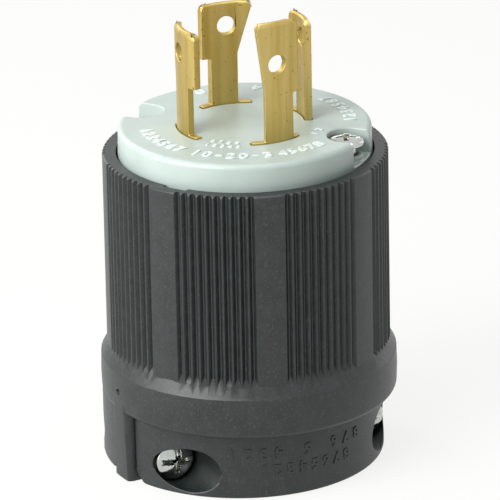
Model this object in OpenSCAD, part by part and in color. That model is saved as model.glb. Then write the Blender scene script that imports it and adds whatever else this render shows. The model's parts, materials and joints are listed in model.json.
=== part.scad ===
// Four-blade locking power plug, 30 A class, standing on its cord clamp with the blades up.
// Millimetres. +Z runs along the plug axis towards the blades. The origin is on the axis in the
// plane that the clamp halves and the shell's two posts stand on.

/* [Grip shell] */
// Radius over the ribbed grip
grip_r = 28.1; // [27.6:0.1:28.6]
// Largest radius of the collar below the grip
collar_r = 29.5; // [29.2:0.1:30.2]
// Height of the rim that surrounds the pale face
rim_z = 63.9; // [62:0.1:65]
// Height where the flare ends and the ribs begin
rib_foot_z = 24.9; // [23.5:0.1:26]
// Height of the crease between flare and collar
crease_z = 22.4; // [21:0.1:22.9]
// Height of the collar's lower edge, where the cord clamp begins
collar_z = 14; // [13.6:0.1:14.4]
// Bore that takes the face and the terminal housing
bore_r = 25.4; // [25.3:0.1:25.6]
// Hole in the shell's floor for the cord
cord_hole_r = 15; // [12:0.5:15]

/* [Ribs] */
// Smooth pads around the grip
pad_count = 8; // [8:1:8]
// Direction of the first pad
pad_angle = 26.4; // [0:0.1:45]
// Grooves between two pads
grooves_per_pad = 10; // [6:1:10]
// Angle between two grooves
groove_pitch = 3.37; // [3:0.01:3.4]
// Depth of each V groove
groove_depth = 0.75; // [0.3:0.05:0.9]

/* [Face] */
// Height of the face surface
face_z = 69.2; // [68:0.1:71]
// Radius of the face above the rim
face_r = 25; // [24.9:0.05:25.15]
// Rounding of the face's edge
face_round = 1.1; // [0.6:0.1:1.5]
// Direction of the first assembly screw; the second is opposite
assembly_angle = 309.5; // [308:0.5:320]
// Distance of the assembly screws from the axis
assembly_r = 21.3; // [20:0.1:21.4]
// How far the first assembly screw stands off its seat
loose_screw_rise = 1.9; // [0:0.1:2]
// Width of the open notch around each assembly screw
notch_w = 8.4; // [8.2:0.1:9]

/* [Blades] */
// Outer radius of the circle that the blades stand on
blade_r = 13.35; // [13:0.05:13.6]
// Thickness of the brass strip
blade_t = 1.45; // [1.3:0.05:1.6]
// Height of the tips of the two flared line blades
line_tip_z = 90.3; // [88:0.1:92]
// Height of the tip of the line blade with the straight flank
straight_tip_z = 89.7; // [88:0.1:92]
// Height of the ground blade's tip
ground_tip_z = 93.5; // [91:0.1:95]
// Height of the edge under each locking hook
hook_z = 79.2; // [77:0.1:80]
// Height of the hole through each line blade
line_hole_z = 85.5; // [84:0.1:86]
// Height of the hole through the ground blade
ground_hole_z = 85; // [84:0.1:86]
// Diameter of the hole through each blade
blade_hole_d = 3.7; // [3:0.1:4]

/* [Cord clamp] */
// Radius of the clamp halves' outline
clamp_r = 28.1; // [27:0.1:28.2]
// How far the clamp has floated off the axis along +Y
clamp_float = 2.8; // [0:0.1:3]
// Radius of the jaws that close on the cord
jaw_r = 11; // [9:0.5:12]
// Distance of the clamp screws from the plug axis along X
clamp_screw_x = 21.5; // [21:0.1:21.6]
// Height of the clamp screws
clamp_screw_z = 5.3; // [5.2:0.1:6.4]

/* [Hidden] */
$fn = 96;

nylon_black = [0.20, 0.21, 0.22];
nylon_pale = [0.80, 0.84, 0.82];
insulator_grey = [0.55, 0.57, 0.58];
brass = [0.80, 0.66, 0.34];
zinc = [0.82, 0.82, 0.80];
ground_green = [0.20, 0.50, 0.28];

through = 0.5;              // how far a cut runs past the face it opens
fit_gap = 0.1;              // room all round a part that lies in its pocket

// grip shell
flare_slope = (collar_r - grip_r) / (rib_foot_z - crease_z);
flare_in_r = grip_r - groove_depth - 0.2;   // the flare runs inwards under the grooves
flare_in_z = rib_foot_z + (grip_r - flare_in_r) / flare_slope;
collar_round = 1.4;         // rounding of the collar's lower edge
crease_round = 0.5;         // softening of the crease above the collar
rim_chamfer = 0.35;
floor_t = 4;                // thickness of the shell's floor
ledge_z = 34;               // step in the bore that carries the insulating bodies
ledge_r = 23.8;
boss_r = 5.5;               // boss over each assembly nut
boss_top_z = collar_z + 8;
post_w = 6;                 // width of the two posts beside the clamp
post_r = collar_r - 0.1;
post_in_x = 24.4;
post_draft = 0.3;
post_round = 1.6;
gate_angle = 180.6;         // dimple left by the mould's gate
gate_z = 18.5;
gate_r = 0.6;
gate_depth = 0.35;
key_angle = 210.5;          // keyway in the rim and key on the face
key_w = 4.9;
keyway_r = 26.15;
keyway_depth = 8;

// insulating bodies
cover_t = 2.5;
cover_top_z = ledge_z + cover_t;
housing_top_z = 56;
housing_r = bore_r - 0.35;
notch_floor_z = rim_z + 0.4;
notch_shift = 0.5;          // the notch's round end lies this far outside the screw's axis
seat_z = notch_floor_z + 1.1;   // raised seat under each assembly screw's head
seat_r = 3.3;
key_top_z = rim_z - 4;

// blades: angle of each around the axis
blade_x_angle = 349.5;
blade_y_angle = 80.8;
blade_z_angle = 173.7;
blade_ground_angle = 272.5;
foot_proud = 0.3;           // the shoulders stand this far out of the face
lug_z = housing_top_z;      // lugs trapped between housing and face
lug_t = 2.9;
lug_half_w = 6.6;
tail_half_w = 4.6;
tail_end_z = 38;
blade_in_r = blade_r - blade_t;
tip_bevel_z = 1.15;
tip_bevel_out = 0.55;
tip_bevel_in = 0.3;

// terminals
terminal_z = 45;
terminal_shank_r = 2;
terminal_head_r = 3.4;
terminal_head_h = 2.3;
terminal_channel_r = 3.9;
plate_out_r = 10.7;
plate_t = 2.6;
plate_w = 8.4;
plate_h = 9;
pocket_in_r = 6.9;
pocket_half_w = 4.8;
wire_hole_r = 3.2;
wire_hole_dist = 10;

// assembly screws and nuts
assembly_shank_r = 2;
assembly_head_r = 3.45;
assembly_head_h = 1.7;
assembly_end_z = collar_z + 0.3;
nut_flats = 8;
nut_t = 3.2;
nut_z = collar_z + 0.5;
hole_r = 2.25;              // clearance hole for every long screw
thread_r = 2.02;            // tapped hole that a 4 mm shank fills

// cord clamp
clamp_top_z = collar_z - 0.4;
part_gap = 0.9;             // half of the slit between the two halves
end_gap = 0.2;              // room between a half's end and the post
clamp_edge = 0.3;           // chamfer around the bottom
corner_cut = 3.2;           // chamfer beside the posts
counterbore_r = 4.5;
head_seat_y = 7.6;          // the screw heads bear here, in front of the axis
clamp_head_r = 4;
clamp_head_h = 2.5;
clamp_shank_r = 2;
clamp_shank_end_y = 12.6;
clamp_nut_y = 8.2;
clamp_driver_turn = -4;     // the slots of the clamp screws lie almost level
jaw_groove_d = 0.8;
jaw_groove_w = 1.3;
jaw_groove_zs = [3.4, 6.8, 10.2];

// Points along an arc, both ends included
function arc(cx, cy, r, from, to, steps = 6) =
    [for (i = [0:steps]) let (a = from + (to - from) * i / steps) [cx + r * cos(a), cy + r * sin(a)]];

// ---------------------------------------------------------------- grip shell

module ribbed_outline() {
    groove_in = grip_r - groove_depth;
    difference() {
        circle(grip_r);
        for (pad = [0:pad_count - 1], i = [0:grooves_per_pad - 1])
            rotate(pad_angle + (pad + 0.5) * 360 / pad_count + (i - (grooves_per_pad - 1) / 2) * groove_pitch)
                polygon([[groove_in, -0.14], [groove_in, 0.14], [grip_r + 0.2, 0.82], [grip_r + 0.2, -0.82]]);
    }
}

module collar_solid() {
    rotate_extrude()
        polygon(concat(
            [[0, collar_z]],
            arc(collar_r - collar_round - 0.1, collar_z + collar_round, collar_round, -90, -4),
            [[collar_r, collar_z + 4.6]],
            arc(collar_r - 0.1 - crease_round, crease_z - 0.25, crease_round, 0, 55, 3),
            [[flare_in_r, flare_in_z], [0, flare_in_z]]));
}

// Two legs that reach down between the clamp halves and guide them
module posts() {
    half_w = post_w / 2;
    intersection() {
        cylinder(r1 = post_r - post_draft, r2 = post_r, h = collar_z + collar_round);
        for (side = [0, 180]) rotate(side) linear_extrude(collar_z + collar_round)
            polygon(concat(
                [[post_in_x, half_w], [post_in_x, -half_w]],
                arc(post_r - post_round, post_round - half_w, post_round, -90, 0),
                arc(post_r - post_round, half_w - post_round, post_round, 0, 90)));
    }
}

module grip_shell() {
    color(nylon_black) difference() {
        union() {
            translate([0, 0, crease_z]) linear_extrude(rim_z - crease_z) ribbed_outline();
            collar_solid();
            posts();
        }
        // chamfer around the rim
        rotate_extrude() polygon([
            [grip_r - rim_chamfer, rim_z + 0.01], [grip_r + 1, rim_z - rim_chamfer - 1], [grip_r + 1, rim_z + 0.01]]);
        // bore down to the ledge, then the narrower wiring space
        translate([0, 0, ledge_z]) cylinder(r = bore_r, h = rim_z - ledge_z + through);
        difference() {
            translate([0, 0, collar_z + floor_t]) cylinder(r = ledge_r, h = ledge_z - collar_z - floor_t + through);
            for (side = [0, 180]) rotate(assembly_angle + side) translate([assembly_r, 0, collar_z])
                cylinder(r = boss_r, h = boss_top_z - collar_z);
        }
        translate([0, 0, collar_z - through]) cylinder(r = cord_hole_r, h = floor_t + 2 * through);
        // screw holes and the nut pockets that open at the clamp
        for (side = [0, 180]) rotate(assembly_angle + side) translate([assembly_r, 0, collar_z - through]) {
            cylinder(r = hole_r, h = boss_top_z - collar_z + 2 * through);
            hex(nut_flats + 2 * fit_gap, nut_z + nut_t - collar_z + through);
        }
        rotate(gate_angle) translate([collar_r - gate_depth, 0, gate_z]) rotate([0, 90, 0])
            cylinder(r = gate_r, h = 1);
        // keyway
        rotate(key_angle) translate([bore_r - 1, -key_w / 2, rim_z - keyway_depth])
            cube([keyway_r - bore_r + 1, key_w, keyway_depth + through]);
    }
}

// Hexagonal prism by its width across flats
module hex(flats, h) {
    cylinder(r = flats / 2 / cos(30), h = h, $fn = 6);
}

// ---------------------------------------------------------------- face and insulating bodies

module face_solid() {
    top_r = face_r - 0.1;
    rotate_extrude()
        polygon(concat(
            [[0, housing_top_z], [face_r, housing_top_z], [face_r, rim_z]],
            arc(top_r - face_round, face_z - face_round, face_round, 0, 90),
            [[0, face_z]]));
}

// Open notch around an assembly screw, with the raised seat left standing
module assembly_notch() {
    difference() {
        translate([notch_shift, 0, notch_floor_z]) union() {
            cylinder(r = notch_w / 2, h = face_z);
            translate([0, -notch_w / 2, 0]) cube([face_r, notch_w, face_z]);
        }
        translate([0, 0, notch_floor_z - 1]) cylinder(r = seat_r, h = seat_z - notch_floor_z + 1);
    }
}

// Angle around the axis that takes up a length along the blades' outer surface
function turn_for(along) = along / blade_r * 180 / PI;

// Slot for a blade's shoulders, and the wider recess for its lugs
module blade_slot(angle, from, to) {
    rotate(angle) {
        strip_gap(from - fit_gap, to + fit_gap, face_z + through);
        strip_gap(-lug_half_w - fit_gap, lug_half_w + fit_gap, lug_z + lug_t + fit_gap);
    }
}

// Room for the strip between two of its flanks, from the housing up to a height
module strip_gap(from, to, top) {
    intersection() {
        blade_stock_gap(housing_top_z - through, top);
        flank(-1, [[from, tail_end_z], [from, top]]);
        flank(1, [[to, tail_end_z], [to, top]]);
    }
}

module blade_stock_gap(z0, z1) {
    translate([0, 0, z0]) difference() {
        cylinder(r = blade_r + fit_gap, h = z1 - z0);
        translate([0, 0, -through]) cylinder(r = blade_in_r - fit_gap, h = z1 - z0 + 2 * through);
    }
}

module blade_face() {
    color(nylon_pale) {
        difference() {
            face_solid();
            for (side = [0, 180]) rotate(assembly_angle + side) translate([assembly_r, 0, 0]) {
                assembly_notch();
                translate([0, 0, housing_top_z - through]) cylinder(r = hole_r, h = face_z);
            }
            blade_slot(blade_x_angle, -neck_half, foot_ccw);
            blade_slot(blade_y_angle, foot_cw, foot_ccw);
            blade_slot(blade_z_angle, foot_cw, foot_ccw);
            blade_slot(blade_ground_angle, ground_foot_cw, ground_foot_ccw);
        }
        // key that slides down the shell's keyway
        rotate(key_angle) translate([face_r - 1, -key_w / 2 + fit_gap, housing_top_z])
            cube([keyway_r - 0.15 - face_r + 1, key_w - 2 * fit_gap, key_top_z - housing_top_z]);
    }
}

module blade_angles() {
    for (a = [blade_x_angle, blade_y_angle, blade_z_angle, blade_ground_angle]) rotate(a) children();
}

module terminal_housing() {
    color(insulator_grey) difference() {
        translate([0, 0, cover_top_z]) cylinder(r = housing_r, h = housing_top_z - cover_top_z);
        blade_angles() {
            // pocket for the plate, the wire and the blade's tail
            translate([pocket_in_r, -pocket_half_w, cover_top_z - through])
                cube([blade_r + 0.2 - pocket_in_r, 2 * pocket_half_w, 16 + through]);
            // way for the tail down from the face
            intersection() {
                blade_stock_gap(cover_top_z, housing_top_z + through);
                translate([0, -pocket_half_w, 0]) cube([2 * blade_r, 2 * pocket_half_w, 2 * face_z]);
            }
            // screwdriver channel
            translate([blade_in_r, 0, terminal_z]) rotate([0, 90, 0])
                cylinder(r = terminal_channel_r, h = housing_r);
        }
        for (side = [0, 180]) rotate(assembly_angle + side)
            translate([assembly_r, 0, cover_top_z - through]) cylinder(r = hole_r, h = housing_top_z);
    }
}

module terminal_cover() {
    color(insulator_grey) difference() {
        translate([0, 0, ledge_z]) cylinder(r = housing_r, h = cover_t);
        // funnelled hole for each wire
        blade_angles() translate([wire_hole_dist, 0, ledge_z - through]) {
            cylinder(r = wire_hole_r, h = cover_t + 2 * through);
            cylinder(r1 = wire_hole_r + 1.2 + through, r2 = wire_hole_r, h = 1.2 + through);
        }
        for (side = [0, 180]) rotate(assembly_angle + side)
            translate([assembly_r, 0, ledge_z - through]) cylinder(r = hole_r, h = cover_t + 2 * through);
    }
}

// ---------------------------------------------------------------- blades

// Lengths along a blade's outer surface from its middle: clockwise edges are negative
neck_half = 3.15;
hook_ccw = 5.35;
flare_cw = -6;
foot_cw = -5.7;
foot_ccw = 5.4;
hole_offset = -0.64;
straight_hole_offset = 0;
ground_neck_cw = -3;
ground_neck_ccw = 3.55;
ground_flare_cw = -4.6;
ground_hook_ccw = 5;
ground_foot_cw = -5.7;
ground_foot_ccw = 5.2;
ground_hole_offset = -0.3;
flank_turn = 15;            // the flanks are cut square to the strip about this far round

// Ring of brass strip with a bevelled tip, from which each blade is cut
module blade_stock(tip_z) {
    rotate_extrude() polygon([
        [blade_in_r, tail_end_z], [blade_r, tail_end_z], [blade_r, tip_z - tip_bevel_z],
        [blade_r - tip_bevel_out, tip_z], [blade_in_r + tip_bevel_in, tip_z],
        [blade_in_r, tip_z - tip_bevel_in]]);
}

// Outline of one flank inside the plug: tail and lug, from the bottom up
function tail_side(above, side) = [
    [side * tail_half_w, tail_end_z], [side * tail_half_w, lug_z], [side * lug_half_w, lug_z],
    [side * lug_half_w, lug_z + lug_t], [above, lug_z + lug_t]];

// The same with a shoulder that stands just out of the face, up to the neck
function foot_side(shoulder, neck, side) = concat(
    tail_side(shoulder, side), [[shoulder, face_z + foot_proud], [neck, face_z + foot_proud]]);

// Everything on the blade's side of one flank, cut square to the strip
module flank(side, outline) {
    top = outline[len(outline) - 1][1];
    rotate(side * flank_turn) rotate([90, 0, 90]) linear_extrude(2 * blade_r) polygon(concat(
        [[-side * blade_r, tail_end_z]],
        [for (p = outline) [blade_r * sin(turn_for(p[0]) - side * flank_turn), p[1]]],
        [[-side * blade_r, top]]));
}

// One blade, from the outlines of its two flanks
module blade(angle, tip_z, hole_at, hole_z, cw_outline, ccw_outline) {
    color(brass) rotate(angle) difference() {
        intersection() {
            blade_stock(tip_z);
            flank(-1, cw_outline);
            flank(1, ccw_outline);
        }
        rotate(turn_for(hole_at)) translate([0, 0, hole_z]) rotate([0, 90, 0])
            cylinder(d = blade_hole_d, h = 2 * blade_r);
        translate([0, 0, terminal_z]) rotate([0, 90, 0]) cylinder(r = hole_r, h = 2 * blade_r);
    }
}

// Flank with the locking hook, and its rounded corner at the tip
function hooked_flank(foot, neck, hook, bottom_z, tip_z, corner) = concat(
    foot_side(foot, neck, 1), [[neck, bottom_z - 0.2], [hook, bottom_z]],
    arc(hook - corner, tip_z - corner, corner, 0, 90, 6));

// Flank that flares out from the height of the hook to the tip
function flared_flank(foot, neck, flare, tip_z, corner) = concat(
    foot_side(foot, neck, -1), [[neck, hook_z + 0.4]],
    arc(flare + corner, tip_z - corner, corner, 172, 90, 6));

module line_blade(angle) {
    blade(angle, line_tip_z, hole_offset, line_hole_z,
        flared_flank(foot_cw, -neck_half, flare_cw, line_tip_z, 1.3),
        hooked_flank(foot_ccw, neck_half, hook_ccw, hook_z, line_tip_z, 1.2));
}

// Line blade whose clockwise flank runs straight from the face to the tip
module blade_x() {
    blade(blade_x_angle, straight_tip_z, straight_hole_offset, line_hole_z,
        concat(tail_side(-neck_half, -1), arc(1.5 - neck_half, straight_tip_z - 1.5, 1.5, 180, 90, 6)),
        hooked_flank(foot_ccw, neck_half, hook_ccw, hook_z, straight_tip_z, 1.2));
}
module blade_y() { line_blade(blade_y_angle); }
module blade_z() { line_blade(blade_z_angle); }
module blade_ground() {
    blade(blade_ground_angle, ground_tip_z, ground_hole_offset, ground_hole_z,
        flared_flank(ground_foot_cw, ground_neck_cw, ground_flare_cw, ground_tip_z, 1.4),
        hooked_flank(ground_foot_ccw, ground_neck_ccw, ground_hook_ccw, hook_z - 0.6, ground_tip_z, 2.8));
}

// ---------------------------------------------------------------- terminals

// Pressure plate, tapped for the terminal screw, that clamps the wire to the blade's tail
module wire_clamp(angle) {
    color(brass) rotate(angle) difference() {
        translate([plate_out_r - plate_t, -plate_w / 2, terminal_z - plate_h / 2]) cube([plate_t, plate_w, plate_h]);
        translate([0, 0, terminal_z]) rotate([0, 90, 0]) cylinder(r = thread_r, h = 2 * blade_r);
        // shallow groove that centres the wire
        for (side = [-1, 1]) translate([plate_out_r + 0.6, side * 3.2, terminal_z - plate_h])
            cylinder(r = 1, h = 2 * plate_h);
    }
}
module wire_clamp_x() { wire_clamp(blade_x_angle); }
module wire_clamp_y() { wire_clamp(blade_y_angle); }
module wire_clamp_z() { wire_clamp(blade_z_angle); }
module wire_clamp_ground() { wire_clamp(blade_ground_angle); }

// Domed screw along +Z: the head sits on z = 0 and the shank hangs below
module pan_screw(head_r, head_h, shank_r, shank_l) {
    edge_h = head_h * 0.5;
    dome_r = (head_r * head_r + (head_h - edge_h) * (head_h - edge_h)) / (2 * (head_h - edge_h));
    difference() {
        union() {
            intersection() {
                cylinder(r = head_r, h = head_h);
                translate([0, 0, head_h - dome_r]) sphere(r = dome_r);
            }
            translate([0, 0, -shank_l]) cylinder(r = shank_r, h = shank_l + edge_h);
        }
        driver_recess(head_r, head_h);
    }
}

// Driver recess: a slot right across the dome, and a deeper cross with a sunken centre
module driver_recess(head_r, head_h) {
    slot_w = 1;
    arm = head_r * 1.15;
    translate([-head_r, -slot_w / 2, head_h * 0.6]) cube([2 * head_r, slot_w, head_h]);
    for (turn = [0, 90]) rotate(turn)
        translate([-arm / 2, -slot_w / 2, head_h * 0.4]) cube([arm, slot_w, head_h]);
    translate([0, 0, head_h * 0.3]) cylinder(r1 = 0.6, r2 = 1.1, h = head_h);
}

module terminal_screw(angle) {
    rotate(angle) translate([blade_r + 0.02, 0, terminal_z]) rotate([0, 90, 0])
        pan_screw(terminal_head_r, terminal_head_h, terminal_shank_r, blade_r - pocket_in_r - 0.6);
}
module power_terminal_screws() {
    color(brass) for (a = [blade_x_angle, blade_y_angle, blade_z_angle]) terminal_screw(a);
}
module ground_terminal_screw() { color(ground_green) terminal_screw(blade_ground_angle); }

module assembly_screws() {
    length = seat_z - assembly_end_z;
    color(zinc) for (side = [0, 1]) rotate(assembly_angle + side * 180)
        translate([assembly_r, 0, seat_z + (1 - side) * loose_screw_rise])
            rotate(22) pan_screw(assembly_head_r, assembly_head_h, assembly_shank_r, length);
}

module assembly_nuts() {
    color(zinc) for (side = [0, 180]) rotate(assembly_angle + side) translate([assembly_r, 0, nut_z])
        nut();
}

module nut() {
    difference() {
        hex(nut_flats, nut_t);
        translate([0, 0, -through]) cylinder(r = thread_r, h = nut_t + 2 * through);
    }
}

// ---------------------------------------------------------------- cord clamp

// Both halves' common outline, floated along +Y but never proud of the collar
module clamp_disc() {
    intersection() {
        translate([0, clamp_float, 0]) rotate_extrude() polygon([
            [0, 0], [clamp_r - clamp_edge, 0], [clamp_r, clamp_edge], [clamp_r, clamp_top_z], [0, clamp_top_z]]);
        cylinder(r = collar_r - 0.1, h = clamp_top_z);
    }
}

// Everything that both halves leave open: slit, posts, jaws, screw holes
module clamp_openings() {
    wide = 4 * clamp_r;
    translate([-wide / 2, -part_gap, -through]) cube([wide, 2 * part_gap, clamp_top_z + 2 * through]);
    translate([0, 0, -through]) cylinder(r = jaw_r, h = clamp_top_z + 2 * through);
    translate([0, 0, -0.01]) cylinder(r1 = jaw_r + 1, r2 = jaw_r, h = 1);
    translate([0, 0, clamp_top_z - 0.99]) cylinder(r1 = jaw_r, r2 = jaw_r + 1, h = 1);
    for (z = jaw_groove_zs) translate([0, 0, z - jaw_groove_w / 2])
        cylinder(r = jaw_r + jaw_groove_d, h = jaw_groove_w);
    for (side = [-1, 1]) {
        translate([side * (post_in_x - end_gap + wide / 2), 0, clamp_top_z / 2])
            cube([wide, post_w + 2 * end_gap, clamp_top_z + 2 * through], center = true);
        translate([side * clamp_screw_x, 0, clamp_screw_z]) rotate([90, 0, 0])
            cylinder(r = hole_r, h = wide, center = true);
        // sloped lower corner beside each post, in front and behind
        for (face = [-1, 1])
            translate([side * collar_r, face * (post_w / 2 + end_gap), 0]) rotate([45, 0, 0])
                cube([2 * (collar_r - post_in_x), corner_cut, corner_cut], center = true);
    }
}

module cord_clamp_front() {
    color(nylon_black) difference() {
        clamp_disc();
        clamp_openings();
        translate([-2 * clamp_r, -part_gap, -through]) cube([4 * clamp_r, 4 * clamp_r, 2 * clamp_top_z]);
        for (side = [-1, 1])
            translate([side * clamp_screw_x, -head_seat_y, clamp_screw_z]) rotate([90, 0, 0])
                cylinder(r = counterbore_r, h = clamp_r);
    }
}

module cord_clamp_rear() {
    color(nylon_black) difference() {
        clamp_disc();
        clamp_openings();
        translate([-2 * clamp_r, part_gap - 4 * clamp_r, -through]) cube([4 * clamp_r, 4 * clamp_r, 2 * clamp_top_z]);
        for (side = [-1, 1])
            translate([side * clamp_screw_x, clamp_nut_y, clamp_screw_z]) rotate([-90, 0, 0]) {
                rotate(30) hex(nut_flats + 2 * fit_gap, nut_t);
                translate([0, 0, nut_t]) cylinder(r = counterbore_r + 0.3, h = clamp_r);
            }
    }
}

module clamp_screws() {
    color(zinc) for (side = [-1, 1])
        translate([side * clamp_screw_x, -head_seat_y, clamp_screw_z]) rotate([90, 0, 0]) rotate(clamp_driver_turn)
            pan_screw(clamp_head_r, clamp_head_h, clamp_shank_r, head_seat_y + clamp_shank_end_y);
}

module clamp_nuts() {
    color(zinc) for (side = [-1, 1])
        translate([side * clamp_screw_x, clamp_nut_y, clamp_screw_z]) rotate([-90, 0, 0]) rotate(30) nut();
}

grip_shell();
blade_face();
terminal_housing();
terminal_cover();
blade_x();
blade_y();
blade_z();
blade_ground();
wire_clamp_x();
wire_clamp_y();
wire_clamp_z();
wire_clamp_ground();
power_terminal_screws();
ground_terminal_screw();
assembly_screws();
assembly_nuts();
cord_clamp_front();
cord_clamp_rear();
clamp_screws();
clamp_nuts();
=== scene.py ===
"""Looks of a four-blade locking power plug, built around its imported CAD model.

Everything is in metres in the row frame: +Z runs along the plug axis towards the blades.
"""

import json
import logging
import math
from collections.abc import Iterator
from dataclasses import dataclass, field
from enum import Enum

import bmesh
import bpy
from mathutils import Matrix, Vector


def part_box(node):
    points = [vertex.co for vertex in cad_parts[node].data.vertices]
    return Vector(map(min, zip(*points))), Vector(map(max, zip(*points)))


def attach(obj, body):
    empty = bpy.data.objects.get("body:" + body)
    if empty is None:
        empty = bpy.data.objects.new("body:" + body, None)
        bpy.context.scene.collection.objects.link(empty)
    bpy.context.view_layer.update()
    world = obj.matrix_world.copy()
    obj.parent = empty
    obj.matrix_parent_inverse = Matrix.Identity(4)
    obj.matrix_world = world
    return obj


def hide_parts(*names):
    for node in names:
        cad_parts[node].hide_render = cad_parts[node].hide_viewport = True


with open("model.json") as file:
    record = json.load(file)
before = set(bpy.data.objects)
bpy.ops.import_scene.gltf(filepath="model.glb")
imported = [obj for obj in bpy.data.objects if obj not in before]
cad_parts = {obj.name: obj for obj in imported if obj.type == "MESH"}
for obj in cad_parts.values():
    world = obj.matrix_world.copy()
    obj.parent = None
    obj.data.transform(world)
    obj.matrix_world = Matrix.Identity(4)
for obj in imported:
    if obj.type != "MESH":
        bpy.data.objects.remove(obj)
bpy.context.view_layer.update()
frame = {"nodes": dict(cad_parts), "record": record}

MM = 0.001
BODY = "root"
EASED_FROM_DEG = 28.0       # edges that turn more sharply than this are eased
FLAT_WITHIN_DEG = 0.4       # faces that turn less than this are one flat face
MERGE_MM = 0.002            # corners closer than this are one corner
DIGIT_SHARE = 0.72          # height of a digit over the size of its type
STROKE_SHARE = 0.03         # how far a digit's strokes are thickened, over its height
BAR_SIZE = (0.5, 0.22)      # width and height of a bar, over its row's height
EMPTY, DASH = ".", "-"      # an empty place and a bar in a row of marks
FLECK_EDGE = 0.06           # noise levels over which a fleck fades in
log = logging.getLogger("locking_plug")


def linear(hex_colour: str) -> tuple[float, float, float, float]:
    """Turn an sRGB hex colour into linear RGBA.

    Args:
        hex_colour: Six hex digits with a leading #.

    Returns:
        Red, green, blue and an alpha of 1, all linear.
    """
    channels = [int(hex_colour[i:i + 2], 16) / 255 for i in (1, 3, 5)]
    low = [c / 12.92 if c <= 0.04045 else ((c + 0.055) / 1.055) ** 2.4 for c in channels]
    return (*low, 1.0)


def add_node(tree: bpy.types.NodeTree, kind: str, settings: dict | None = None,
             links: dict | None = None) -> bpy.types.Node:
    """Add one shader node with its settings and its incoming links.

    Args:
        tree: The node tree that takes the node.
        kind: The node's type name, without the ShaderNode prefix.
        settings: Values by property name, or by socket name or index.
        links: Output sockets by input socket name or index.

    Returns:
        The new node.
    """
    node = tree.nodes.new("ShaderNode" + kind)
    for key, value in (settings or {}).items():
        if isinstance(key, str) and hasattr(node, key):
            setattr(node, key, value)
        else:
            node.inputs[key].default_value = value
    for key, socket in (links or {}).items():
        tree.links.new(socket, node.inputs[key])
    return node


def seen_directly(tree: bpy.types.NodeTree) -> bpy.types.NodeSocket:
    """Socket that is 1 for what the camera, a reflection or a clear body shows, else 0."""
    path = add_node(tree, "LightPath")
    seen = path.outputs["Is Camera Ray"]
    for ray in ("Is Transmission Ray", "Is Glossy Ray"):
        seen = add_node(
            tree, "Math", {"operation": "MAXIMUM"}, {0: seen, 1: path.outputs[ray]}).outputs[0]
    return seen


def grain_scale(size_mm: float) -> float:
    """Noise scale on object coordinates for features about size_mm across."""
    return 1.0 / (size_mm * MM)


class Surface(Enum):
    """Ways a surface was made, which set the direction of its fine marks."""

    MOULDED = "moulded"
    ROLLED = "rolled"
    PLATED = "plated"


# ------------------------------------------------------------------ finishes


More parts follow.
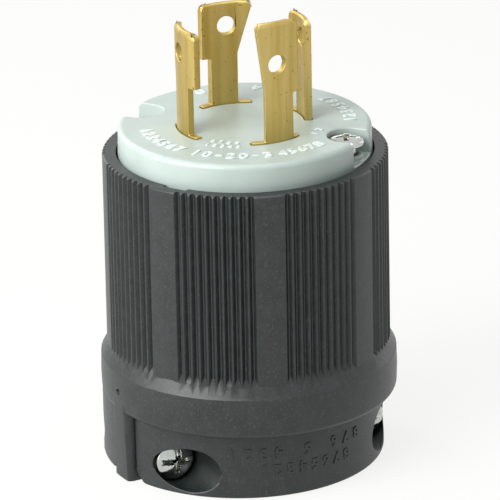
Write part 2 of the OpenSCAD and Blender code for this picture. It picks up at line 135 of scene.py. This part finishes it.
@dataclass(frozen=True)
class Finish:
    """One material, from the colour and surface of the real one.

    Attributes:
        name: Material name.
        colour: Main sRGB colour.
        second: Colour that the slow variation drifts to.
        roughness: Middle roughness.
        roughness_spread: How far roughness varies either way.
        metallic: 1 for a metal, 0 otherwise.
        ior: Index of refraction; a metal keeps the default.
        grain_mm: Size of the fine surface grain.
        grain_height_mm: Height of that grain.
        drift_mm: Size of the slow colour variation.
        drift_share: How much of the second colour shows at most.
        fleck: Colour of the small flecks or stains.
        fleck_mm: Size of a fleck.
        fleck_level: Noise level above which a fleck shows; 1 leaves them out.
        recess: Colour that gathers in narrow hollows.
        recess_mm: Width of a hollow that counts as narrow; 0 leaves it out.
        surface: How the surface was made.
    """

    name: str
    colour: str
    second: str
    roughness: float
    roughness_spread: float = 0.05
    metallic: float = 0.0
    ior: float = 1.5
    grain_mm: float = 0.25
    grain_height_mm: float = 0.01
    drift_mm: float = 6.0
    drift_share: float = 0.5
    fleck: str = "#000000"
    fleck_mm: float = 0.5
    fleck_level: float = 1.0
    recess: str = "#000000"
    recess_mm: float = 0.0
    surface: Surface = Surface.MOULDED

    def stretch(self) -> tuple[float, float, float]:
        """Scale of the grain along X, Y and Z for the way the surface was made."""
        return {
            Surface.MOULDED: (1.0, 1.0, 1.0),
            Surface.ROLLED: (1.0, 1.0, 0.06),
            Surface.PLATED: (1.0, 1.0, 1.0),
        }[self.surface]

    def noise(self, tree: bpy.types.NodeTree, at: bpy.types.NodeSocket, size_mm: float,
              detail: float = 4.0) -> bpy.types.NodeSocket:
        """Add a noise of a given feature size and return its value socket."""
        node = add_node(
            tree, "TexNoise",
            {"Scale": grain_scale(size_mm), "Detail": detail, "Roughness": 0.6}, {"Vector": at})
        return node.outputs["Fac"]

    def tint(self, tree: bpy.types.NodeTree, below: bpy.types.NodeSocket,
             share: bpy.types.NodeSocket, colour: str) -> bpy.types.NodeSocket:
        """Lay a colour over another by a share and return the colour socket."""
        node = add_node(tree, "Mix", {"data_type": "RGBA", 7: linear(colour)}, {0: share, 6: below})
        return node.outputs[2]

    def colours(self, tree: bpy.types.NodeTree, where: bpy.types.NodeSocket,
                grain_at: bpy.types.NodeSocket) -> bpy.types.NodeSocket:
        """Build the colour from the drift, the flecks and what gathers in hollows.

        Args:
            tree: The material's node tree.
            where: Object coordinates.
            grain_at: Object coordinates, stretched the way the surface was made.

        Returns:
            The colour socket.
        """
        base = add_node(
            tree, "Mix",
            {"data_type": "RGBA", 6: linear(self.colour), 7: linear(self.second)})
        share = add_node(
            tree, "MapRange", {"From Min": 0.35, "From Max": 0.65, "To Max": self.drift_share},
            {"Value": self.noise(tree, grain_at, self.drift_mm, 3.0)})
        tree.links.new(share.outputs["Result"], base.inputs[0])
        colour = base.outputs[2]
        if self.fleck_level < 1.0:
            flecks = add_node(
                tree, "MapRange",
                {"From Min": self.fleck_level, "From Max": self.fleck_level + FLECK_EDGE},
                {"Value": self.noise(tree, where, self.fleck_mm, 2.0)})
            colour = self.tint(tree, colour, flecks.outputs["Result"], self.fleck)
        if self.recess_mm > 0.0:
            open_sky = add_node(
                tree, "AmbientOcclusion", {"samples": 8, "Distance": self.recess_mm * MM})
            hollow = add_node(
                tree, "MapRange", {"From Min": 0.75, "From Max": 0.35},
                {"Value": open_sky.outputs["AO"]})
            colour = self.tint(tree, colour, hollow.outputs["Result"], self.recess)
        return colour

    def build(self) -> bpy.types.Material:
        """Make the node material.

        Returns:
            The material, ready for a slot.
        """
        material = bpy.data.materials.new(self.name)
        material.use_nodes = True
        tree = material.node_tree
        tree.nodes.clear()
        where = add_node(tree, "TexCoord").outputs["Object"]
        stretched = add_node(tree, "Mapping", {"Scale": self.stretch()}, {"Vector": where})
        grain_at = stretched.outputs["Vector"]
        grain = self.noise(tree, grain_at, self.grain_mm)
        rough = add_node(
            tree, "MapRange",
            {"From Min": 0.3, "From Max": 0.7,
             "To Min": self.roughness - self.roughness_spread,
             "To Max": self.roughness + self.roughness_spread},
            {"Value": grain})
        bump = add_node(
            tree, "Bump", {"Strength": 1.0, "Distance": self.grain_height_mm * MM},
            {"Height": grain})
        shader = add_node(
            tree, "BsdfPrincipled", {"Metallic": self.metallic, "IOR": self.ior},
            {"Base Color": self.colours(tree, where, grain_at),
             "Roughness": rough.outputs["Result"], "Normal": bump.outputs["Normal"]})
        add_node(tree, "OutputMaterial", None, {"Surface": shader.outputs["BSDF"]})
        return material


# Glass-filled nylon straight from a spark-eroded mould: dark and dull, with a fine grain of
# slightly paler flecks, drawn coarser than the real ones so that they show.
BLACK_NYLON = Finish(
    "black_nylon", "#1f2525", "#151918", roughness=0.42, roughness_spread=0.07, ior=1.53,
    grain_mm=0.30, grain_height_mm=0.016, drift_mm=3.0, drift_share=0.8,
    fleck="#2d3332", fleck_mm=0.45, fleck_level=0.58)
# Natural nylon from a polished mould: pale, smooth and slightly waxy.
PALE_NYLON = Finish(
    "pale_nylon", "#aebbb6", "#a2b0aa", roughness=0.34, roughness_spread=0.03, ior=1.53,
    grain_mm=1.2, grain_height_mm=0.004, drift_mm=9.0, drift_share=0.6)
# The same nylon on the raised marks: thin and polished, and given a whiter colour than the face,
# which is a painted highlight.
LIT_MARK_NYLON = Finish(
    "pale_nylon_marks_painted_highlight", "#d3dedb", "#c6d2cf", roughness=0.3, roughness_spread=0.03, ior=1.53,
    grain_mm=0.6, grain_height_mm=0.004)
# Stamped cartridge brass strip: satin, with faint rolling lines along the blade and small stains.
BRASS = Finish(
    "brass", "#c3ad6c", "#b0974f", roughness=0.44, roughness_spread=0.08, metallic=1.0,
    grain_mm=0.35, grain_height_mm=0.004, drift_mm=2.2, drift_share=0.8,
    fleck="#7d6430", fleck_mm=0.7, fleck_level=0.66, surface=Surface.ROLLED)
# Bright zinc plate on steel screws: mirror-like, with yellow chromate left in the driver recess.
ZINC = Finish(
    "zinc_steel", "#c4c8c6", "#a9ada2", roughness=0.12, roughness_spread=0.06, metallic=1.0,
    grain_mm=0.5, grain_height_mm=0.004, drift_mm=1.6,
    recess="#6e6236", recess_mm=0.9, surface=Surface.PLATED)
# Moulded phenolic inside the plug: plain grey and matt.
INSULATOR = Finish(
    "grey_insulator", "#8b8f90", "#828687", roughness=0.6, ior=1.6, grain_mm=0.4)
# Green-dyed plate that marks the ground terminal's screw.
GREEN_PLATE = Finish(
    "green_steel", "#3a7d4b", "#31703f", roughness=0.3, metallic=1.0, grain_mm=0.4)


# ------------------------------------------------------------------ modelling helpers


def new_piece(name: str, mesh: bmesh.types.BMesh, material: bpy.types.Material) -> bpy.types.Object:
    """Turn a bmesh into a piece of the plug that rides on its body.

    Args:
        name: Name of the piece.
        mesh: The finished geometry, in the row frame. It is freed.
        material: What the piece is made of.

    Returns:
        The new object.
    """
    data = bpy.data.meshes.new(name)
    mesh.to_mesh(data)
    mesh.free()
    data.materials.append(material)
    piece = bpy.data.objects.new(name, data)
    bpy.context.scene.collection.objects.link(piece)
    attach(piece, BODY)
    return piece


def eased_copy(node: str, radius_mm: float, material: bpy.types.Material,
               segments: int = 2) -> bpy.types.Object:
    """Make a piece from a CAD node, with its sharp edges broken as on the real one.

    Args:
        node: The CAD node that the piece stands for.
        radius_mm: Width of the eased edges.
        material: What the piece is made of.
        segments: Faces across each eased edge.

    Returns:
        The new object, which replaces the node.
    """
    mesh = bmesh.new()
    mesh.from_mesh(frame["nodes"][node].data)
    bmesh.ops.remove_doubles(mesh, verts=mesh.verts, dist=MERGE_MM * MM)
    bmesh.ops.dissolve_limit(
        mesh, angle_limit=math.radians(FLAT_WITHIN_DEG), verts=mesh.verts, edges=mesh.edges)
    for face in mesh.faces:
        face.smooth = True
    piece = new_piece(node + "_eased", mesh, material)
    edges = piece.modifiers.new("eased_edges", "BEVEL")
    edges.width = radius_mm * MM
    edges.segments = segments
    edges.limit_method = "ANGLE"
    edges.angle_limit = math.radians(EASED_FROM_DEG)
    edges.use_clamp_overlap = False
    edges.miter_outer = "MITER_ARC"
    flats = piece.modifiers.new("flat_faces_stay_flat", "WEIGHTED_NORMAL")
    flats.mode = "FACE_AREA"
    flats.weight = 100
    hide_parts(node)
    log.info("%s: edges eased by %.2f mm", piece.name, radius_mm)
    return piece


def numeral(text: str, height_mm: float, relief_mm: float) -> bmesh.types.BMesh:
    """Shape a plain raised numeral, standing on its middle in the XY plane.

    Args:
        text: The digit.
        height_mm: Height of the digit.
        relief_mm: How far it stands up; it reaches as far below as above.

    Returns:
        The digit's geometry.
    """
    data = bpy.data.curves.new("numeral", "FONT")
    data.body = text
    data.align_x = "CENTER"
    data.align_y = "CENTER"
    data.size = height_mm * MM / DIGIT_SHARE
    data.offset = STROKE_SHARE * height_mm * MM
    data.extrude = relief_mm * MM
    data.resolution_u = 3
    holder = bpy.data.objects.new("numeral", data)
    bpy.context.scene.collection.objects.link(holder)
    bpy.context.view_layer.update()
    flat = bpy.data.meshes.new_from_object(holder)
    mesh = bmesh.new()
    mesh.from_mesh(flat)
    bpy.data.objects.remove(holder)
    bpy.data.meshes.remove(flat)
    bmesh.ops.remove_doubles(mesh, verts=mesh.verts, dist=0.001 * MM)
    return mesh


def bar(width_mm: float, height_mm: float, relief_mm: float) -> bmesh.types.BMesh:
    """Shape a plain raised bar with eased top edges, on its middle in the XY plane."""
    mesh = bmesh.new()
    bmesh.ops.create_cube(mesh, size=1.0)
    size = Vector((width_mm, height_mm, 2 * relief_mm)) * MM
    bmesh.ops.scale(mesh, verts=mesh.verts, vec=size)
    top = [e for e in mesh.edges if all(v.co.z > 0 for v in e.verts)]
    bmesh.ops.bevel(mesh, geom=top, offset=0.3 * relief_mm * MM, affect="EDGES", segments=2,
                    profile=0.5, material=-1)
    return mesh


def add_to(whole: bmesh.types.BMesh, piece: bmesh.types.BMesh, place: Matrix) -> None:
    """Move one mesh to its place inside another and free it."""
    bmesh.ops.transform(piece, matrix=place, verts=piece.verts)
    carrier = bpy.data.meshes.new("carrier")
    piece.to_mesh(carrier)
    piece.free()
    whole.from_mesh(carrier)
    bpy.data.meshes.remove(carrier)


# ------------------------------------------------------------------ the plug's own parts


@dataclass
class MarkRow:
    """A row of plain raised marks along an arc.

    Attributes:
        start: Direction of the first mark, in degrees.
        pitch: Degrees from one mark to the next.
        marks: Digits; a full stop stands for an empty place and a dash for a bar.
        height: Height of a mark, in mm.
        reach: Radius of the marks' middle on a flat face, or their height on a round wall, in mm.
    """

    start: float
    pitch: float
    marks: str
    height: float
    reach: float

    def shapes(self, relief: float) -> Iterator[tuple[bmesh.types.BMesh, float]]:
        """Shape the row's marks one after another.

        Args:
            relief: How far the marks stand up, in mm.

        Yields:
            A mark's geometry and its direction in radians, without the empty places.
        """
        for place, mark in enumerate(self.marks):
            if mark == EMPTY:
                continue
            around = math.radians(self.start + place * self.pitch)
            if mark == DASH:
                width, height = (share * self.height for share in BAR_SIZE)
                yield bar(width, height, relief), around
            else:
                yield numeral(mark, self.height, relief), around


@dataclass
class FaceRing:
    """The pale face that the blades stand on, with its ring of raised marks.

    Attributes:
        edge: Width of the face's eased edges, in mm.
        relief: How far the marks stand up, in mm.
        rows: The arcs of marks around the face.
    """

    edge: float = 0.3
    relief: float = 0.16
    rows: tuple[MarkRow, ...] = (
        MarkRow(163.0, 6.4, "1234567", 2.6, 19.6),
        MarkRow(213.0, 7.0, "10-20-3", 2.8, 19.6),
        MarkRow(264.0, 6.2, "45678", 2.6, 19.6),
        MarkRow(334.0, 6.2, "1234567", 2.6, 20.9),
        MarkRow(47.0, 8.0, "24.680", 2.8, 20.9),
        MarkRow(304.0, 9.0, "12", 1.6, 15.4),
        MarkRow(212.0, 6.2, "12345", 1.3, 14.4),
        MarkRow(212.0, 7.6, "6789", 1.3, 12.2),
    )

    def marks(self, material: bpy.types.Material) -> None:
        """Raise the marks on the face.

        Args:
            material: What the marks are made of: the face's nylon in a lighter colour that paints a
                highlight on them.
        """
        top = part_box("blade_face")[1][2]
        feet_outwards = Matrix.Rotation(math.radians(90), 4, "Z")
        whole = bmesh.new()
        for row in self.rows:
            out = Matrix.Translation((row.reach * MM, 0, top))
            for shape, around in row.shapes(self.relief):
                add_to(whole, shape, Matrix.Rotation(around, 4, "Z") @ out @ feet_outwards)
        new_piece("face_marks", whole, material)
        log.info("face_marks: %d rows", len(self.rows))

    def build(self, face: bpy.types.Material, marks: bpy.types.Material) -> None:
        """Dress the face and raise its marks."""
        eased_copy("blade_face", self.edge, face, 3)
        self.marks(marks)


@dataclass
class Blades:
    """The four brass blades, tumbled after stamping so that their edges shine."""

    names: tuple[str, ...] = ("blade_x", "blade_y", "blade_z", "blade_ground")
    edge: float = 0.17

    def build(self, brass: bpy.types.Material) -> None:
        """Dress the blades."""
        for name in self.names:
            eased_copy(name, self.edge, brass)


@dataclass
class GripShell:
    """The ribbed shell: every rib's crest is slightly rounded by the mould."""

    edge: float = 0.07

    def build(self, nylon: bpy.types.Material) -> None:
        """Dress the shell."""
        eased_copy("grip_shell", self.edge, nylon, 2)


@dataclass
class CordClamp:
    """Both clamp halves, with two rows of raised marks on the front one.

    Attributes:
        edge: Width of the eased edges, in mm.
        relief: How far the marks stand up, in mm.
        wall_r: Radius of the halves' outer wall, in mm.
        rows: The rows of marks; their reach is their height on the wall.
    """

    edge: float = 0.25
    relief: float = 0.2
    wall_r: float = 28.1
    rows: tuple[MarkRow, ...] = (
        MarkRow(237.0, 6.3, "1234.5.678", 2.3, 9.5),
        MarkRow(250.0, 5.4, "12345678", 2.3, 5.9),
    )

    def axis_y(self) -> float:
        """Where the clamp's own axis lies along Y, from how far the front half reaches."""
        low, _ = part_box("cord_clamp_front")
        return low[1] + self.wall_r * MM

    def marks(self, nylon: bpy.types.Material) -> None:
        """Raise the marks on the front half's wall, with their feet towards the blades."""
        on_wall = (Matrix.Translation((self.wall_r * MM, 0, 0))
                   @ Matrix.Rotation(math.radians(90), 4, "Y")
                   @ Matrix.Rotation(math.radians(-90), 4, "Z"))
        whole = bmesh.new()
        for row in self.rows:
            level = Matrix.Translation((0, self.axis_y(), row.reach * MM))
            for shape, around in row.shapes(self.relief):
                add_to(whole, shape, level @ Matrix.Rotation(around, 4, "Z") @ on_wall)
        new_piece("clamp_marks", whole, nylon)
        log.info("clamp_marks: %d rows", len(self.rows))

    def build(self, nylon: bpy.types.Material) -> None:
        """Dress the clamp halves and raise the marks."""
        for name in ("cord_clamp_front", "cord_clamp_rear"):
            eased_copy(name, self.edge, nylon, 3)
        self.marks(nylon)


@dataclass
class Screws:
    """The screws that show, with rolled heads and softened recesses."""

    names: tuple[str, ...] = ("assembly_screws", "clamp_screws")
    edge: float = 0.14

    def build(self, zinc: bpy.types.Material) -> None:
        """Dress the screws."""
        for name in self.names:
            eased_copy(name, self.edge, zinc, 2)


# ------------------------------------------------------------------ studio


@dataclass
class SoftBox:
    """One rectangular studio lamp.

    Attributes:
        name: Name of the lamp.
        heading: Degrees around +Z, counted from the camera's side, positive to its right.
        height: Degrees above the floor.
        distance: Metres from the plug's middle.
        size: Width and height in metres.
        power: Watts.
    """

    name: str
    heading: float
    height: float
    distance: float
    size: tuple[float, float]
    power: float


@dataclass
class Studio:
    """Floor, soft light and camera.

    Attributes:
        view_heading: Azimuth that the camera looks from, in degrees.
        view_height: Degrees that the camera looks down.
        view_roll: Degrees that the picture leans.
        distance: Metres from the camera to its target.
        focal: Lens in millimetres.
        sensor: Width of the camera's sensor in millimetres.
        target: What the camera looks at, in the row frame.
        lamps: The soft boxes.
        white: Colour of the background and of the floor where they are seen.
        sky: Strength of the even light from all round.
        floor_reach: Metres from the plug to the floor's edge.
        floor_glow: Share of the floor's own light where it is seen; the rest takes the shadow.
    """

    view_heading: float = -28.0
    view_height: float = 20.88
    view_roll: float = -1.08
    distance: float = 1.0
    focal: float = 364.2
    sensor: float = 36.0
    target: Vector = field(default_factory=lambda: Vector((0.00052, -0.00028, 0.04246)))
    lamps: tuple[SoftBox, ...] = (
        SoftBox("key", -44.0, 38.0, 0.60, (0.40, 0.40), 3.8),
        SoftBox("left", -72.0, 10.0, 0.60, (0.30, 0.50), 1.9),
        SoftBox("fill", 60.0, 30.0, 0.80, (0.50, 0.50), 0.08),
        SoftBox("top", 10.0, 84.0, 0.60, (0.45, 0.45), 1.5),
        SoftBox("back_left", -140.0, 30.0, 0.60, (0.20, 0.50), 1.0),
        SoftBox("back_right", 125.0, 20.0, 0.60, (0.15, 0.50), 0.4),
    )
    white: str = "#fdfdfb"
    sky: float = 0.22
    floor_reach: float = 6.0
    floor_glow: float = 0.84

    def direction(self, heading: float, height: float) -> Vector:
        """Unit vector towards a heading (from the camera's side) and height, in degrees."""
        around = math.radians(self.view_heading + heading)
        up = math.radians(height)
        level = math.cos(up)
        return Vector((math.sin(around) * level, -math.cos(around) * level, math.sin(up)))

    def build_camera(self) -> None:
        """Place the camera and make it the scene's own."""
        data = bpy.data.cameras.new("camera")
        data.lens = self.focal
        data.sensor_width = self.sensor
        data.clip_start = 0.05
        data.clip_end = 20.0
        camera = bpy.data.objects.new("camera", data)
        bpy.context.scene.collection.objects.link(camera)
        back = self.direction(0.0, self.view_height)
        right = Vector((0, 0, 1)).cross(back).normalized()
        up = back.cross(right)
        lean = Matrix.Rotation(math.radians(self.view_roll), 3, "Z")
        turn = Matrix((right, up, back)).transposed() @ lean
        place = Matrix.Translation(self.target + back * self.distance)
        camera.matrix_world = place @ turn.to_4x4()
        bpy.context.scene.camera = camera

    def build_lamps(self) -> None:
        """Hang the soft boxes around the plug."""
        middle = Vector((0, 0, self.target.z))
        for lamp in self.lamps:
            data = bpy.data.lights.new(lamp.name, "AREA")
            data.shape = "RECTANGLE"
            data.size, data.size_y = lamp.size
            data.energy = lamp.power
            box = bpy.data.objects.new(lamp.name, data)
            bpy.context.scene.collection.objects.link(box)
            away = self.direction(lamp.heading, lamp.height)
            box.location = middle + away * lamp.distance
            box.rotation_euler = away.to_track_quat("Z", "Y").to_euler()

    def build_world(self) -> None:
        """Give the world an even pale light that reads as white where it is seen."""
        world = bpy.data.worlds.new("studio")
        world.use_nodes = True
        tree = world.node_tree
        tree.nodes.clear()
        light = add_node(
            tree, "Background", {"Color": linear("#f2f4f6"), "Strength": self.sky})
        white = add_node(tree, "Background", {"Color": linear(self.white), "Strength": 1.0})
        both = add_node(tree, "MixShader", None,
                        {0: seen_directly(tree), 1: light.outputs[0], 2: white.outputs[0]})
        add_node(tree, "OutputWorld", None, {"Surface": both.outputs[0]})
        bpy.context.scene.world = world

    def build_floor(self) -> None:
        """Lay a pale floor that keeps a light shadow."""
        mesh = bmesh.new()
        bmesh.ops.create_grid(mesh, x_segments=1, y_segments=1, size=self.floor_reach)
        data = bpy.data.meshes.new("floor")
        mesh.to_mesh(data)
        mesh.free()
        floor = bpy.data.objects.new("floor", data)
        bpy.context.scene.collection.objects.link(floor)
        material = bpy.data.materials.new("pale_floor")
        material.use_nodes = True
        tree = material.node_tree
        tree.nodes.clear()
        glow_share = add_node(
            tree, "Math", {"operation": "MULTIPLY", 1: self.floor_glow}, {0: seen_directly(tree)})
        paper = add_node(tree, "BsdfDiffuse", {"Color": linear("#f4f4f2")})
        glow = add_node(tree, "Emission", {"Color": linear(self.white), "Strength": 1.0})
        both = add_node(tree, "MixShader", None,
                        {0: glow_share.outputs[0], 1: paper.outputs[0], 2: glow.outputs[0]})
        add_node(tree, "OutputMaterial", None, {"Surface": both.outputs[0]})
        data.materials.append(material)

    def build(self) -> None:
        """Build the whole studio."""
        self.build_camera()
        self.build_world()
        self.build_lamps()
        self.build_floor()
        bpy.context.scene.view_settings.view_transform = "Standard"


# ------------------------------------------------------------------ main


def main() -> None:
    """Build the studio and dress every part of the plug."""
    logging.basicConfig(level=logging.INFO, format="%(message)s")
    Studio().build()
    by_slot = {finish.name: finish.build()
               for finish in (BLACK_NYLON, PALE_NYLON, BRASS, ZINC, INSULATOR, GREEN_PLATE)}
    slot_of = {part["node"]: part["material_slot"] for part in frame["record"]["subparts"]}
    for name, node in frame["nodes"].items():
        node.data.materials[0] = by_slot[slot_of[name]]
    GripShell().build(by_slot["black_nylon"])
    # the face's marks take a lighter copy of the face's nylon, a painted highlight
    FaceRing().build(by_slot["pale_nylon"], LIT_MARK_NYLON.build())
    Blades().build(by_slot["brass"])
    CordClamp().build(by_slot["black_nylon"])
    Screws().build(by_slot["zinc_steel"])


if __name__ == "__main__":
    main()
